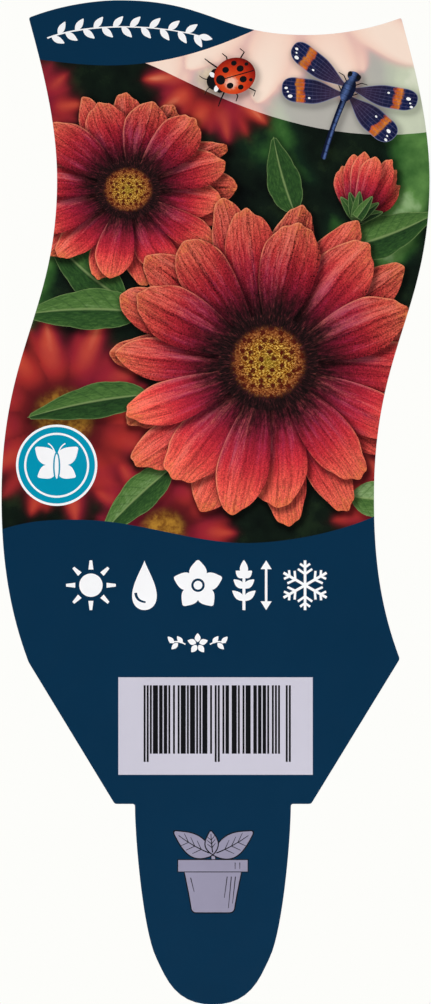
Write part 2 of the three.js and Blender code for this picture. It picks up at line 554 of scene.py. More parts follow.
def paint_petal(tree, place):
    """Maroon at the foot, through crimson to coral at the end, which is dry and tan in spots. Fibres,
    veins and creases run along it. One side of it and of each fold is lit, with a violet sheen
    halfway. Its rim is pale, and the collar's hairs hide its foot."""
    along, across, seed = carried(tree, "grain")
    edge = carried(tree, "tone")[1]
    lit_across, lit_along, bright = carried(tree, "light")
    side, lot = abs(across), seed * 57
    streak = speckle(point(along * 1.7, across * 3.6, lot), 1.0, 3, 0.6) - 0.5
    fibre = speckle(point(along * 8, across * 24, lot), 1.0, 4, 0.75) - 0.5
    mottle = speckle(point(along * 16, across * 7, lot), 1.0, 4, 0.75) - 0.5
    grit = speckle(place, 3800, 2, 0.8) - 0.5
    colour = ramp(
        along + streak * 0.32 + mottle * 0.16,
        (0.0, 34, 14, 18),
        (0.18, 70, 18, 28),
        (0.32, 118, 26, 40),
        (0.46, 158, 32, 48),
        (0.6, 190, 46, 54),
        (0.75, 214, 74, 66),
        (0.88, 226, 96, 77),
        (1.0, 214, 98, 64),
    )
    wander = across + streak * 0.3
    creases = band(wander, 0.09) * 0.75 + band(abs(wander) - 0.46, 0.06) * 0.45
    creases = creases * step(along, 0.1, 0.35) * step(along, 0.78, 1.0, 1.0, 0.3)
    nerves = lines(across * 4.6 + streak * 3.4 + fibre * 0.9, 0.27) * step(along, 0.3, 0.8, 0.3, 1.0)
    nerves = nerves * step(mottle + fibre * 0.4, -0.2, 0.12)
    tilt = across * 0.9 + (wander * 6.8).put("SINE") * 0.5
    form = tilt * lit_across * 0.2 + (along - 0.5) * lit_along * 0.2
    outer = step(along, 0.35, 0.9, 0.5, 1.2)
    grain = fibre * 0.95 + mottle * outer * 0.8 + grit * 2.5
    light = bright + form + grain - creases * 0.42 - nerves * 0.32 + 0.1
    flush = step(streak + (0.5 - along) * 0.5, -0.06, 0.24, 0.0, 0.4)
    colour = mix(flush, colour, ink(146, 22, 62))
    colour = mix(nerves * 0.42, colour, ink(122, 14, 36))
    colour = scaled(colour, light - step(side, 0.76, 1.0, 0.0, 0.2))
    shine = step(form + streak * 0.5 + fibre * 0.6 - nerves * 0.1 + grit * 0.3, 0.02, 0.3, 0.0, 0.58)
    colour = mix(shine, colour, ink(242, 132, 116))
    violet = band(along - 0.42, 0.34) * step(form + streak * 0.9 + mottle * 0.5, -0.06, 0.3, 0.0, 0.5)
    colour = mix(violet, colour, ink(164, 58, 100))
    dry = step(mottle * 1.3 + fibre * 0.9 + (along - 0.9) * 1.4, -0.01, 0.3, 0.0, 0.7)
    colour = mix(dry, colour, ink(228, 130, 80))
    turned_up = across * lit_across * 0.8 + step(along, 0.8, 1.0) * lit_along * 0.6 + mottle * 2.4
    rim = band(edge, 0.32) * step(along, 0.25, 0.9, 0.05, 0.9) * step(turned_up, -0.4, 0.7)
    rim = rim * step(streak + fibre, -0.3, 0.15, 0.3, 1.0)
    colour = mix(rim, colour, ink(244, 152, 112))
    out, hair = hairs(tree)
    tufts = speckle(point(along * 2, across * 1.5, lot + 9), 1.0, 2) - 0.5
    dark = step(out + (hair - 0.5) * 0.34 + tufts * 0.22, 0.27, 0.54, 0.97, 0.0)
    return veiled(tree, mix(dark, colour, fluff(hair)))


def paint_heart(tree, place):
    """Golden florets with dark mouths, greenish in the middle and brown towards the hairy collar."""
    x, y, seed = carried(tree, "grain")
    out, hair = hairs(tree)
    dust = speckle(point(x, y, seed), 84, 3, 0.9)
    gold = ramp(dust, (0.4, 52, 14, 0), (0.47, 114, 54, 6), (0.53, 178, 114, 22), (0.6, 250, 212, 108))
    brown = ramp(dust, (0.38, 58, 18, 10), (0.5, 118, 50, 24), (0.62, 190, 116, 70))
    gold = mix(step(out, 0.11, 0.19, 0.0, 0.85), gold, brown)
    gold = mix(step(out, 0.0, 0.1, 0.4, 0.0), gold, ink(142, 134, 40))
    inputs = {"Vector": point(x, y, seed), "Scale": 17.0, "Randomness": 0.65}
    cells = node(tree, "ShaderNodeTexVoronoi", inputs, voronoi_dimensions="2D")
    mouths = step(cells + (dust - 0.5) * 0.6, 0.21, 0.37, 0.95, 0.0)
    gold = mix(mouths, gold, ink(78, 20, 10))
    rough_edge = out + (hair - 0.5) * 0.1 + (dust - 0.5) * 0.05
    return veiled(tree, mix(step(rough_edge, 0.19, 0.235), gold, fluff(hair)))


varnished("petal_ink", paint_petal)
varnished("heart_ink", paint_heart)


def facing(centre, tilt, lean):
    """How a bloom that leans away is drawn: its plane is pressed to tilt of its depth across lean,
    and moved to centre. Gives that for flat places of the bloom, and the way back."""
    press = turned(np.diag([1.0, tilt]) @ turned(np.eye(2), lean), -lean)

    def drawn(places):
        return np.asarray(places) @ press + centre

    def back(places):
        return (np.asarray(places) - centre) @ np.linalg.inv(press)

    return drawn, back


def oval(centre, half_length, half_height=None, degrees=0.0, count=32):
    """An ellipse: centre plus the turned point (a cos t, b sin t)."""
    t = np.linspace(0, 2 * np.pi, count, endpoint=False)
    ring = np.stack([half_length * np.cos(t), (half_height or half_length) * np.sin(t)], axis=1)
    return turned(ring, degrees) + centre


foot_share, heart_reach = 0.2, 0.3  # of a bloom's radius: where petals start, and the hairs end


def print_bloom(centre, radius, petals, turn, tilt, lean, seed):
    """A ring of petals behind another, each petal set with a little chance, then the heart. The
    front ring is the brighter one, and petals that point up are darker, by the sine of their turn."""
    draw = np.random.default_rng(seed)
    drawn, back = facing(np.array(centre), tilt, lean)
    foot = foot_share * radius

    def plane(places):
        """Places on the sheet as shares of the bloom's radius."""
        return back(places) / radius

    for ring, (number, reach) in enumerate(((petals, 1.0), (petals - 1, 0.95))):
        for i in draw.permutation(number):
            degrees = turn + 360 * (i + 0.5 * ring) / number + draw.normal(0, 2.2)
            length = (reach + draw.normal(0, 0.03)) * radius - foot
            half = radius * 2.3 / number * draw.uniform(0.82, 1.14)  # wide enough to overlap
            sway = draw.normal(0, 0.045) * radius
            start = turned([foot, 0], degrees)
            outline, grain = blade(start, degrees, length, half, sway, *petal_form(draw))
            bright = 0.79 + 0.1 * ring - 0.22 * np.sin(np.radians(degrees)) + draw.normal(0, 0.07)
            print_shape(
                "petal_ink",
                drawn(outline),
                lambda places, grain=grain: grain(back(places)),
                draw.random(),
                rim=True,
                shadow=0.9,
                light=facing_sun(degrees, bright),
                bloom=plane,
            )
    heart = oval((0, 0), heart_reach * radius, count=64)
    print_shape("heart_ink", drawn(heart), plane, 0.5, bloom=plane)


def bract_profile(share):
    """A pointed green scale: broad at its foot, then drawn in to the tip."""
    return np.clip(1 - share, 0, 1) ** 0.55 * (0.75 + 0.25 * np.sin(np.pi * share)) + 0.02


bud_petals = ((44, 0.8), (-44, 0.8), (30, 0.95), (-28, 0.93), (15, 1.0), (-13, 1.02), (1, 0.96))
bract_spreads = (58, -58, 36, -36, 14, -16)
bract_length, bract_half = 0.4, 0.11  # of the bud's length


def far_out(places):
    """A bud shows no collar, so its petals count as far out on their bloom."""
    return np.ones((len(places), 2))


def print_bud(foot, heading, length, seed):
    """A half-open bloom from the side: petals fanned out of a cup of green bracts. The wider a petal
    spreads, the more it bends back to the middle."""
    draw = np.random.default_rng(seed)
    base = np.array(foot)
    for spread, reach in bud_petals:
        degrees = heading + spread + draw.normal(0, 2)
        half = 0.17 * length * draw.uniform(0.9, 1.1)
        bow = -0.0027 * spread * length
        form = (reach * length, half, bow, *petal_form(draw))
        bright = draw.uniform(0.8, 1.0)
        print_blade("petal_ink", base, degrees, form, draw.random(), 0.7, bright, far_out)
    for spread in bract_spreads:
        form = (bract_length * length, bract_half * length, 0.0, bract_profile, leaf_tip)
        print_blade("leaf_ink", base, heading + spread, form, draw.uniform(0.1, 0.7), 0.6)


near_bloom, far_bloom = (9.5, 75.5), (-14.5, 105.0)
print_bud((24.6, 100.2), 70, 11.5, seed=21)
print_bloom(far_bloom, 18.5, 13, 4, 0.9, 30, seed=3)
print_bloom(near_bloom, 28.5, 15, 11, 0.96, 120, seed=8)

# --- The pale veil ---
# A translucent white panel printed over the picture's upper right corner, from the tip of the navy
# field to the right edge.


def bend(start, leaving, arriving, end, count=24):
    """A cubic curve that leaves start along one handle and arrives at end along another."""
    t = np.linspace(0, 1, count)[:, None]
    a, d = np.array(start, float), np.array(end, float)
    b, c = a + leaving, d - arriving
    return (1 - t) ** 3 * a + 3 * (1 - t) ** 2 * t * b + 3 * (1 - t) * t**2 * c + t**3 * d


veil_start = (-11.5, 126.6)
veil_under = bend(veil_start, (5.9, -1.9), (24.0, 4.0), (38.5, 115.1))
veil_outline = np.concatenate([veil_under, [(42, 140), (5, 142), (-14, 130)]])
veil_number = len(prints)
print_shape("veil", veil_outline)

# --- The insects on the veil ---
# A dark blue damselfly and a ladybird, printed over the veil in full colour as if they had settled
# on the label. Each casts a small shadow on it.


def flat_ink(name, colour, change=0.025):
    """A solid ink, whose colour drifts a little over the sheet, as the press lays it. Gives the
    function that prints a shape in this ink."""

    def paint(tree, place):
        """The colour, a little lighter or darker where slow clouds are."""
        drift = speckle(place, 60, 4, 0.6)
        return scaled(colour[:3], step(drift, 0.3, 0.7, 1 - change, 1 + change))

    varnished(name, paint)
    return partial(print_shape, name)


def paint_wing(tree, place):
    """Dusky violet from the root to a black-blue end, with an orange band and pale veins."""
    along, across, _ = carried(tree, "grain")
    edge = carried(tree, "tone")[1]
    grime = speckle(place, 900, 4, 0.7) - 0.5
    colour = ramp(
        along + grime * 0.14,
        (0.0, 84, 62, 80),
        (0.25, 58, 44, 74),
        (0.5, 34, 34, 66),
        (0.62, 26, 36, 76),
        (0.65, 214, 96, 30),
        (0.75, 236, 138, 46),
        (0.78, 22, 34, 80),
        (1.0, 14, 22, 62),
    )
    colour = mix(lines(across * 3.2, 0.16) * 0.4, colour, ink(112, 108, 150))
    colour = mix(lines(along * 14 + grime, 0.1) * 0.16, colour, ink(120, 116, 158))
    colour = mix(step(grime, -0.1, 0.2, 0.35, 0.0), colour, ink(16, 16, 40))
    return veiled(tree, mix(band(edge, 0.14) * 0.6, colour, ink(150, 158, 196)))


def paint_back(tree, place):
    """Black-blue, with a lit stripe along one side and rings across."""
    along, across, _ = carried(tree, "grain")
    scales = speckle(place, 2600, 3, 0.7)
    colour = mix(band(across - 0.25, 0.7) * scales * 1.3, ink(14, 22, 50), ink(92, 118, 176))
    return veiled(tree, mix(lines(along * 9, 0.09) * 0.7, colour, ink(8, 10, 24)))


def paint_shell(tree, place):
    """Red round a white gleam, darker towards the rim."""
    ahead, beside, _ = carried(tree, "grain")
    pores = speckle(place, 2600, 3, 0.7) - 0.5
    out = (ahead * ahead + beside * beside).put("SQRT") + pores * 0.2
    colour = ramp(out, (0.0, 236, 104, 48), (0.5, 208, 58, 24), (0.85, 150, 28, 16), (1, 92, 14, 12))
    return veiled(tree, mix(step(out, 0.1, 0.3, 0.7, 0.0), colour, ink(255, 222, 200)))


varnished("wing_ink", paint_wing)
varnished("insect_back_ink", paint_back)
varnished("shell_ink", paint_shell)
print_black = flat_ink("black_ink", ink(18, 19, 22), 0.1)
print_white = flat_ink("white_ink", ink(250, 250, 252), 0.012)


def wing_profile(share):
    """A damselfly's wing: a thin stalk, then long even sides."""
    return 0.12 + 0.88 * np.sin(np.pi / 2 * np.clip(share / 0.55, 0, 1)) ** 1.4


wing_tip = {"from": 0.78, "edge": lambda across: 0.78 + 0.22 * (1 - np.abs(across) ** 2.6) ** 0.5}


def taper_profile(share):
    """A tail: it narrows slowly, and swells a little again at its end."""
    return 1.0 - 0.35 * share + 0.25 * share**4


round_tip = {"from": 0.96, "edge": lambda across: 0.96 + 0.04 * (1 - across**2) ** 0.5}


def stroke(points, width, end_width=None):
    """A drawn line: its path offset to both sides by half a width that runs to end_width."""
    path = np.asarray(points, float)
    along = np.gradient(path, axis=0)
    side = np.stack([-along[:, 1], along[:, 0]], axis=1)
    side /= np.linalg.norm(side, axis=1, keepdims=True)
    half = np.linspace(width, width if end_width is None else end_width, len(path))[:, None] / 2
    return np.concatenate([path - side * half, (path + side * half)[::-1]])


def laid_at(centre, heading, size):
    """Lays an insect that is drawn with its head towards +x: scaled, turned, moved to centre."""
    return lambda places: turned(np.asarray(places) * size, heading) + centre


def oval_grain(place, half_length, half_width, heading):
    """Turns places on the sheet into shares of an oval's half length and half width."""
    return lambda places: turned(places - place, -heading) / (half_length, half_width)


def print_limb(laid, path, width):
    """A leg or feeler that thins to half its width."""
    print_black(laid(stroke(path, width, width * 0.5)), shadow=0.2)


wing_spots = ((0.86, 0.35, 0.36), (0.93, -0.3, 0.26), (0.9, 0.0, 0.17), (0.55, 0.45, 0.2))


def print_damselfly(centre, heading, size):
    """Legs, four spotted wings, the tail, then body, head and eyes."""
    laid = laid_at(np.array(centre), heading, size)
    for bow in (-1, 1):
        for front, foot in ((0.2, 1.9), (1.1, 2.2), (2.0, 2.2)):
            knee = [front + 0.9, bow * 1.5]
            print_limb(laid, [[front, bow * 0.5], knee, [foot + front * 0.4, bow * 2.4]], 0.2)
    for foot, swing, length, half in ((0.3, 112, 9.4, 1.9), (1.5, 80, 10.2, 1.7)):
        for bow in (-1, 1):
            start = laid([foot, bow * 0.45])
            degrees = heading + bow * swing
            form = (length * size, half * size, -bow * 0.6, wing_profile, wing_tip)
            outline, grain = blade(start, degrees, *form)
            print_shape("wing_ink", outline, grain, 0.5, rim=True, shadow=0.45)
            for share, lean, spot in wing_spots:
                middle = start + turned([share * length * size, lean * half * size], degrees)
                print_white(oval(middle, spot * size, spot * size * 0.7, degrees, 14))
    form = (10.5 * size, 0.5 * size, 0.9, taper_profile, round_tip)
    outline, grain = blade(laid([0.4, 0.0]), heading + 180, *form)
    print_shape("insect_back_ink", outline, grain, 0.2, shadow=0.5)
    for ahead, half_length, half_width in ((1.1, 1.9, 1.05), (3.35, 0.75, 1.05)):
        part = laid(oval((ahead, 0), half_length, half_width))
        own = oval_grain(laid([ahead, 0]), half_length * size * 4, half_width * size, heading)
        print_shape("insect_back_ink", part, own, 0.4, shadow=0.5)
    for bow in (-1, 1):
        print_black(laid(oval((3.5, bow * 0.72), 0.42, 0.36, 0, 16)))


shell_spots = ((0.6, 1.25, 0.52), (-0.9, 1.9, 0.44), (-1.6, 0.85, 0.55), (-2.7, 1.25, 0.3))


def print_ladybird(centre, heading, size):
    """Legs and feelers, head and collar, then the shell with its seam and spots."""
    laid = laid_at(np.array(centre), heading, size)
    for bow in (-1, 1):
        for foot, reach in ((-1.6, -2.9), (0.1, -0.1), (1.7, 2.7)):
            print_limb(laid, [[foot, bow * 1.9], [reach, bow * 3.1], [reach + 0.5, bow * 3.8]], 0.27)
        print_limb(laid, [[3.3, bow * 0.4], [4.2, bow * 0.9], [4.7, bow * 1.5]], 0.18)
    print_black(laid(oval((2.9, 0), 1.0, 1.25)), shadow=0.4)
    print_black(laid(oval((2.2, 0), 1.15, 1.9)), shadow=0.4)
    for bow in (-1, 1):
        print_white(laid(oval((2.75, bow * 1.1), 0.34, 0.5, bow * -35, 16)))
    shine = oval_grain(laid([0.3, 0.9]), 4.3 * size, 4.0 * size, heading)
    print_shape("shell_ink", laid(oval((-0.5, 0), 3.2, 2.75, count=48)), shine, shadow=0.6)
    print_black(laid(stroke([[2.4, 0], [-3.5, 0]], 0.16)))
    print_black(laid(oval((1.75, 0), 0.7, 0.75, count=20)))
    for bow in (-1, 1):
        for ahead, side, spot in shell_spots:
            print_black(laid(oval((ahead, bow * side), spot, spot * 0.9, count=18)))


print_damselfly((22.6, 120.9), 66, 1.12)
print_ladybird((3.2, 124.3), 196, 1.12)

# --- The navy fields ---
# Solid navy ink, run off the sheet on all sides: a lens over the top left corner, and the whole
# lower part of the panel with the stake, below one long wave.

print_navy = flat_ink("navy_ink", ink(5, 46, 74))
lens_under = bend((-32, 127.5), (9.4, -0.9), (20.0, 9.8), (8.8, 133.1))
print_navy(np.concatenate([lens_under, [(10, 142), (-34, 142)]]))
wave = np.concatenate([
    bend((-38, 46.2), (5.6, 2.3), (4.7, 0), (-23.4, 48.6)),
    bend((-23.4, 48.6), (10.6, 0), (9.6, 0), (5.8, 44.6))[1:],
    bend((5.8, 44.6), (3.4, 0), (9.4, 4.5), (29, 49.8))[1:],
])
print_navy(np.concatenate([wave, [(42, 49), (42, -38), (-40, -38)]]))

# --- The sprig on the lens ---
# A fine vine with alternate leaves that follows the arch of the top edge. Like all the white signs
# it is opaque white ink, laid over the navy.


def smooth_profile(share):
    """A plain leaf or petal: it swells evenly to the middle and closes to a point."""
    return 0.08 + 0.92 * np.sin(np.pi * np.clip(share, 0, 1) ** 0.85)


def white_leaf(base, degrees, length, half_width, sway=0.0):
    """A plain blade in white."""
    form = (length, half_width, sway, smooth_profile, leaf_tip)
    outline, _ = blade(np.array(base, float), degrees, *form)
    print_white(outline)


vine = bend((-28.3, 130.9), (7.0, 2.7), (7.0, -1.9), (-2.4, 131.3), 60)
print_white(stroke(vine, 0.26, 0.16))
vine_leaves = 17
for number, spot in enumerate(np.linspace(2, 57, vine_leaves).astype(int)):
    run = vine[spot + 1] - vine[spot - 1]
    heading = np.degrees(np.arctan2(run[1], run[0]))
    white_leaf(vine[spot], heading + (46 if number % 2 else -46), 2.5, 0.56)
white_leaf(vine[-1], heading, 2.4, 0.55)

# --- The badge ---
# A round teal badge with a white edge over the picture's lower left corner, and a plain butterfly
# sign in it.

badge = np.array([-26.7, 57.9])
print_teal = flat_ink("teal_ink", ink(0, 147, 178))
discs = ((print_white, 6.95), (print_teal, 6.55), (print_white, 5.55), (print_teal, 5.2))
for print_disc, radius in discs:
    print_disc(oval(badge, radius, count=72))
for bow in (-1, 1):
    white_leaf(badge + (bow * 0.25, 0.1), 90 - bow * 42, 4.5, 1.5, bow * -0.5)
    white_leaf(badge + (bow * 0.25, -0.2), 90 - bow * 128, 3.5, 1.25, bow * 0.4)
    root, end = badge + (bow * 0.15, 1.4), badge + (bow * 1.5, 3.7)
    print_white(stroke(bend(root, (bow * 0.1, 1.0), (bow * 0.7, 0.2), end), 0.2))
print_teal(oval(badge - (0, 0.2), 0.62, 2.5))
print_white(oval(badge - (0, 0.2), 0.34, 2.1))

# --- The care signs ---
# Five white signs across the navy field tell the grower what the plant wants: sun, water, its
# flower, its height and that it stands frost. A small leaf ornament closes the row below.

sign_height = 37.4
sign_places = -2.55 + 9.15 * np.arange(-2, 3)
sign_reach = 4.25


def sun_sign(centre):
    """A disc, and eight rays that thin outwards."""
    print_white(oval(centre, 0.47 * sign_reach, count=48))
    for degrees in np.arange(8) * 45:
        ray = stroke([[0.63 * sign_reach, 0], [sign_reach, 0]], 0.85, 0.45)
        print_white(turned(ray, degrees) + centre)


def water_sign(centre):
    """A drop: sin t times sin(t / 2) to a power across, and cos t up, with a gleam in navy."""
    t = np.linspace(0, 2 * np.pi, 64, endpoint=False)
    drop = np.stack([3.0 * np.sin(t) * np.sin(t / 2) ** 1.5, sign_reach * np.cos(t)], axis=1)
    print_white(drop + centre)
    gleam = bend((-1.5, -1.3), (0.1, -1.2), (0.8, -0.1), (0.2, -2.9))
    print_navy(stroke(gleam + centre, 0.5, 0.3))


def flower_sign(centre):
    """Five petals in a ring, round a disc with a navy rim."""
    for degrees in 18 + 72 * np.arange(5):
        white_leaf(centre + turned([0.6, 0], degrees), degrees, sign_reach - 0.5, 1.5)
    print_navy(oval(centre, 1.15))
    print_white(oval(centre, 0.75))


def height_sign(centre):
    """A leafy stalk, beside a pole with an arrowhead at both ends."""
    stalk = centre - (1.3, 0)
    print_white(stroke([stalk - (0, sign_reach), stalk + (0, 2.6)], 0.5))
    for rise, length in ((-2.6, 2.6), (-0.5, 2.3), (1.3, 1.8)):
        for bow in (-1, 1):
            white_leaf(stalk + (0, rise), 90 - bow * 50, length, 0.62)
    white_leaf(stalk + (0, 1.6), 90, 2.7, 0.7)
    pole = centre + (2.5, 0)
    print_white(stroke([pole - (0, sign_reach - 1), pole + (0, sign_reach - 1)], 0.42))
    for bow in (-1, 1):
        neck = bow * (sign_reach - 1.5)
        print_white(pole + [(-0.95, neck), (0.95, neck), (0, bow * sign_reach)])


def frost_sign(centre):
    """Six arms, each with two pairs of twigs."""
    for degrees in np.arange(6) * 60 + 30:
        arm = [stroke([[0, 0], [sign_reach, 0]], 0.46)]
        for out, length in ((0.45, 1.5), (0.72, 1.05)):
            for bow in (-1, 1):
                twig = turned([[0, 0], [length, 0]], bow * 55) + (out * sign_reach, 0)
                arm.append(stroke(twig, 0.4))
        for line in arm:
            print_white(turned(line, degrees) + centre)


for sign, x in zip((sun_sign, water_sign, flower_sign, height_sign, frost_sign), sign_places):
    sign(np.array([x, sign_height]))

ornament = np.array([-2.6, 27.4])
for degrees in 90 + 72 * np.arange(5):
    white_leaf(ornament + turned([0.3, 0], degrees), degrees, 1.5, 0.5)
for bow in (-1, 1):
    near, end = ornament + (bow * 2.1, -0.1), ornament + (bow * 4.8, 0.2)
    print_white(stroke(bend(near, (bow, 0.6), (bow, -0.2), end, 12), 0.22))
    for out, swing in ((2.6, 52), (3.4, -44), (4.1, 48)):
        white_leaf(ornament + (bow * out, 0.1), 90 - bow * (90 - swing), 1.5, 0.42)

# --- The bar panel ---
# A lavender panel with upright black bars like a till's code, between pairs of longer guard bars.
# Their widths are drawn at random from one to four modules, so they code nothing.

module = 0.264
ink_spread = 0.08  # the wet ink widens each bar by this much
panel_low, panel_high = np.array([-16.16, 5.0]), np.array([17.06, 21.66])
bars_left, bars_top, bars_foot, guards_foot = -11.8, 20.3, 8.6, 7.2
code_modules = 95
print_lavender = flat_ink("lavender_ink", ink(203, 200, 214), 0.02)


def box_outline(low, high):
    """The corners of a box, from its low one round to its upper left one."""
    return [(low[0], low[1]), (high[0], low[1]), (high[0], high[1]), (low[0], high[1])]


def print_bar(first_module, modules, foot):
    """A black bar so many modules wide, from the bars' top down to foot."""
    left = bars_left + first_module * module - ink_spread / 2
    right = left + modules * module + ink_spread
    print_black(box_outline((left, foot), (right, bars_top)))


print_lavender(box_outline(panel_low, panel_high))
for guard in (0, 2, 46, 48, code_modules - 3, code_modules - 1):
    print_bar(guard, 1, guards_foot)
bar_draw = np.random.default_rng(30)
for spot, end in ((4, 44), (51, 90)):
    while spot < end:
        wide = min(int(bar_draw.choice([1, 1, 2, 2, 3, 4])), end - spot)
        print_bar(spot, wide, bars_foot)
        spot += wide + int(bar_draw.choice([1, 1, 1, 1, 2, 2]))

# --- The stake's emblem ---
# A grey-violet seedling in a pot, drawn with fine black lines, in the middle of the stake. It takes
# two inks: each violet shape lies on a black one that is a little larger.

print_violet = flat_ink("violet_ink", ink(147, 143, 165), 0.04)
fine = 0.2


def grown(shape, by):
    """The outline moved outwards by so many mm."""
    turn = np.sign(np.cross(shape, np.roll(shape, -1, axis=0)).sum())
    return shape + by * turn * outward(shape)


def outlined(shape):
    """A violet shape with a black line around it."""
    shape = np.asarray(shape, float)
    print_black(grown(shape, fine / 2))
    print_violet(grown(shape, -fine / 2))


def pen_line(points, width=fine):
    """A black line that thins towards its end."""
    print_black(stroke(points, width, width * 0.6))


pot = np.concatenate([
    bend((-5.0, -11.2), (0.5, -2.4), (0.3, -2.0), (-3.7, -18.0), 8),
    bend((-3.7, -18.0), (0.3, -0.6), (0.8, 0.0), (-2.4, -18.6), 6)[1:],
    bend((2.4, -18.6), (0.8, 0.0), (0.3, 0.6), (3.7, -18.0), 6),
    bend((3.7, -18.0), (0.3, 2.0), (0.5, 2.4), (5.0, -11.2), 8)[1:],
])
seedling_leaves = ((20, 7.9, 2.0, 1.3), (160, 7.7, 1.9, -1.4), (98, 4.1, 1.15, -0.2))
stalk_top = np.array([0.0, -8.6])
outlined(stroke([(0.15, -10), stalk_top], 0.75))
for degrees, length, half, sway in seedling_leaves:
    outline, _ = blade(stalk_top, degrees, length, half, sway, smooth_profile, leaf_tip)
    outlined(outline)
    rib = np.linspace(0.08, 0.86, 12)
    path = np.stack([rib * length, sway * rib**2], axis=1)
    pen_line(turned(path, degrees) + stalk_top)
    for share in (0.28, 0.44, 0.6):
        for bow in (-1, 1):
            foot = np.array([share * length, sway * share**2])
            vein = [foot, foot + (0.62 * half, bow * 0.62 * half)]
            pen_line(turned(vein, degrees) + stalk_top, 0.14)
outlined(pot)
outlined(box_outline((-6.0, -11.6), (6.0, -9.5)))
for drop_place, length in ((3.6, 4.6), (2.9, 5.4), (2.2, 3.6)):
    pen_line([(drop_place + 0.25, -12.4), (drop_place - 0.25, -12.4 - length)], 0.16)
pen_line([(-3.8, -12.6), (-3.2, -15.0)], 0.16)
pen_line([(3.8, -10.0), (3.8, -11.1)], 0.14)
pen_line([(4.6, -10.0), (4.6, -11.1)], 0.14)

# --- The cut, and the printed face ---
# All shapes are laid over each other and cut along every printed edge, so that each patch of the
# face carries the ink that lies on top. The rims, edges and back are bare white plastic.

# A lattice of triangles gives the picture more corners, for the soft ground to change between.
lattice = 0.42
picture_floor = 44.0  # the navy's wave dips to just above this
rows = np.arange(picture_floor, sheet_high[2], lattice * np.sqrt(0.75))
columns = np.arange(sheet_low[0], sheet_high[0], lattice)
grid_x, grid_z = np.meshgrid(columns, rows)
grid_x[1::2] += lattice / 2
loose = np.stack([grid_x.ravel(), grid_z.ravel()], axis=1)

outlines = [shape["outline"] for shape in prints]
starts = np.cumsum([0] + [len(outline) for outline in outlines])
rings = [list(range(a, b)) for a, b in zip(starts[:-1], starts[1:])]
places = np.concatenate(outlines + [loose])
inside_only, merge_within = 1, 0.001
spots, _, patches, _, _, under = delaunay_2d_cdt(places, [], rings, inside_only, merge_within, True)
flat = np.array(spots)
inside = [0 in shapes for shapes in under]
patches = np.array(patches)[inside]
under = [shapes for shapes, kept in zip(under, inside) if kept]
top = np.array([max(s for s in shapes if s != veil_number) for shapes in under])
has_veil = np.array([veil_number in shapes for shapes in under]) & (top < veil_number)

corners = flat[patches].reshape(-1, 2)
corner_top = np.repeat(top, 3)
corner_veil = np.repeat(has_veil, 3)


def edge_distance(places, outline):
    """The distance of each place to a closed outline: the least over its sides."""
    starts, runs = outline, np.roll(outline, -1, axis=0) - outline
    away = places[:, None, :] - starts
    lengths = np.maximum((runs**2).sum(1), 1e-12)  # squared, and never 0
    share = np.clip((away * runs).sum(2) / lengths, 0, 1)
    return np.sqrt(((away - share[:, :, None] * runs) ** 2).sum(2)).min(1)


def within(places, outline):
    """Whether each place lies in an outline: a ray to the right crosses it an odd number of times."""
    a, b = outline, np.roll(outline, -1, axis=0)
    x, z = places[:, :1], places[:, 1:]
    spans = (a[:, 1] > z) != (b[:, 1] > z)
    rise = np.where(b[:, 1] == a[:, 1], 1.0, b[:, 1] - a[:, 1])
    meets = a[:, 0] + (z - a[:, 1]) * (b[:, 0] - a[:, 0]) / rise
    return (spans & (x < meets)).sum(1) % 2 == 1


shadow_fall = np.array([0.35, -0.5])
shadow_reach, shadow_fading = 1.1, 2.8
veiled_shadow = 0.2  # how much of a shadow shows through the veil
# What each corner carries for its ink. grain: along, across and a seed, or the ground's red, green and
# gold cover. tone: shadow, distance in from the edge, and veil. light: how its two directions face the
# sun, and how bright it is. bloom: its place on the bloom that it belongs to.
grain, tone, light, bloom = np.zeros((4, len(corners), 3))
tone[:, 2] = corner_veil
for number, shape in enumerate(prints):
    mine = corner_top == number
    if shape["grain"] is not None and mine.any():
        grain[mine, :2] = shape["grain"](corners[mine])
        grain[mine, 2] = shape["seed"]
    if shape["rim"] and mine.any():
        tone[mine, 1] = edge_distance(corners[mine], shape["outline"])
    if shape["light"]:
        light[mine] = shape["light"]
    if shape["bloom"] is not None and mine.any():
        bloom[mine, :2] = shape["bloom"](corners[mine])
    if shape["shadow"]:
        lifted = corners - shadow_fall
        low = shape["outline"].min(0) - 2 * shadow_reach
        high = shape["outline"].max(0) + 2 * shadow_reach
        near = (corner_top < number) & np.all((lifted > low) & (lifted < high), axis=1)
        gap = edge_distance(lifted[near], shape["outline"]) / shadow_reach
        gap[within(lifted[near], shape["outline"])] = 0
        fall = shape["shadow"] * np.exp(-(gap**2) * shadow_fading)
        fall *= np.where(corner_veil[near] & (number < veil_number), veiled_shadow, 1.0)
        tone[near, 0] = 1 - (1 - tone[near, 0]) * (1 - fall)
ground = corner_top == 0
grain[ground], light[ground, 0] = ground_fields(corners[ground], corner_veil[ground])

used, patches = np.unique(patches, return_inverse=True)
patches = patches.reshape(-1, 3)
flat = flat[used]
rim = rim_loop(patches, flat)
out = flat[rim] + rim_round * outward(flat[rim])
merge_none = 1e-6
found = delaunay_2d_cdt(flat[rim], [], [list(range(len(rim)))], inside_only, merge_none, True)
_, _, back_patches, _, _, under = found
back_patches = np.array([patch for patch, shapes in zip(back_patches, under) if shapes])[:, ::-1]
front_y, back_y = sheet_low[1], sheet_high[1]


def at_depth(places, depth):
    """Places on the sheet as points in space, all at this depth."""
    return np.stack([places[:, 0], np.full(len(places), depth), places[:, 1]], axis=1)


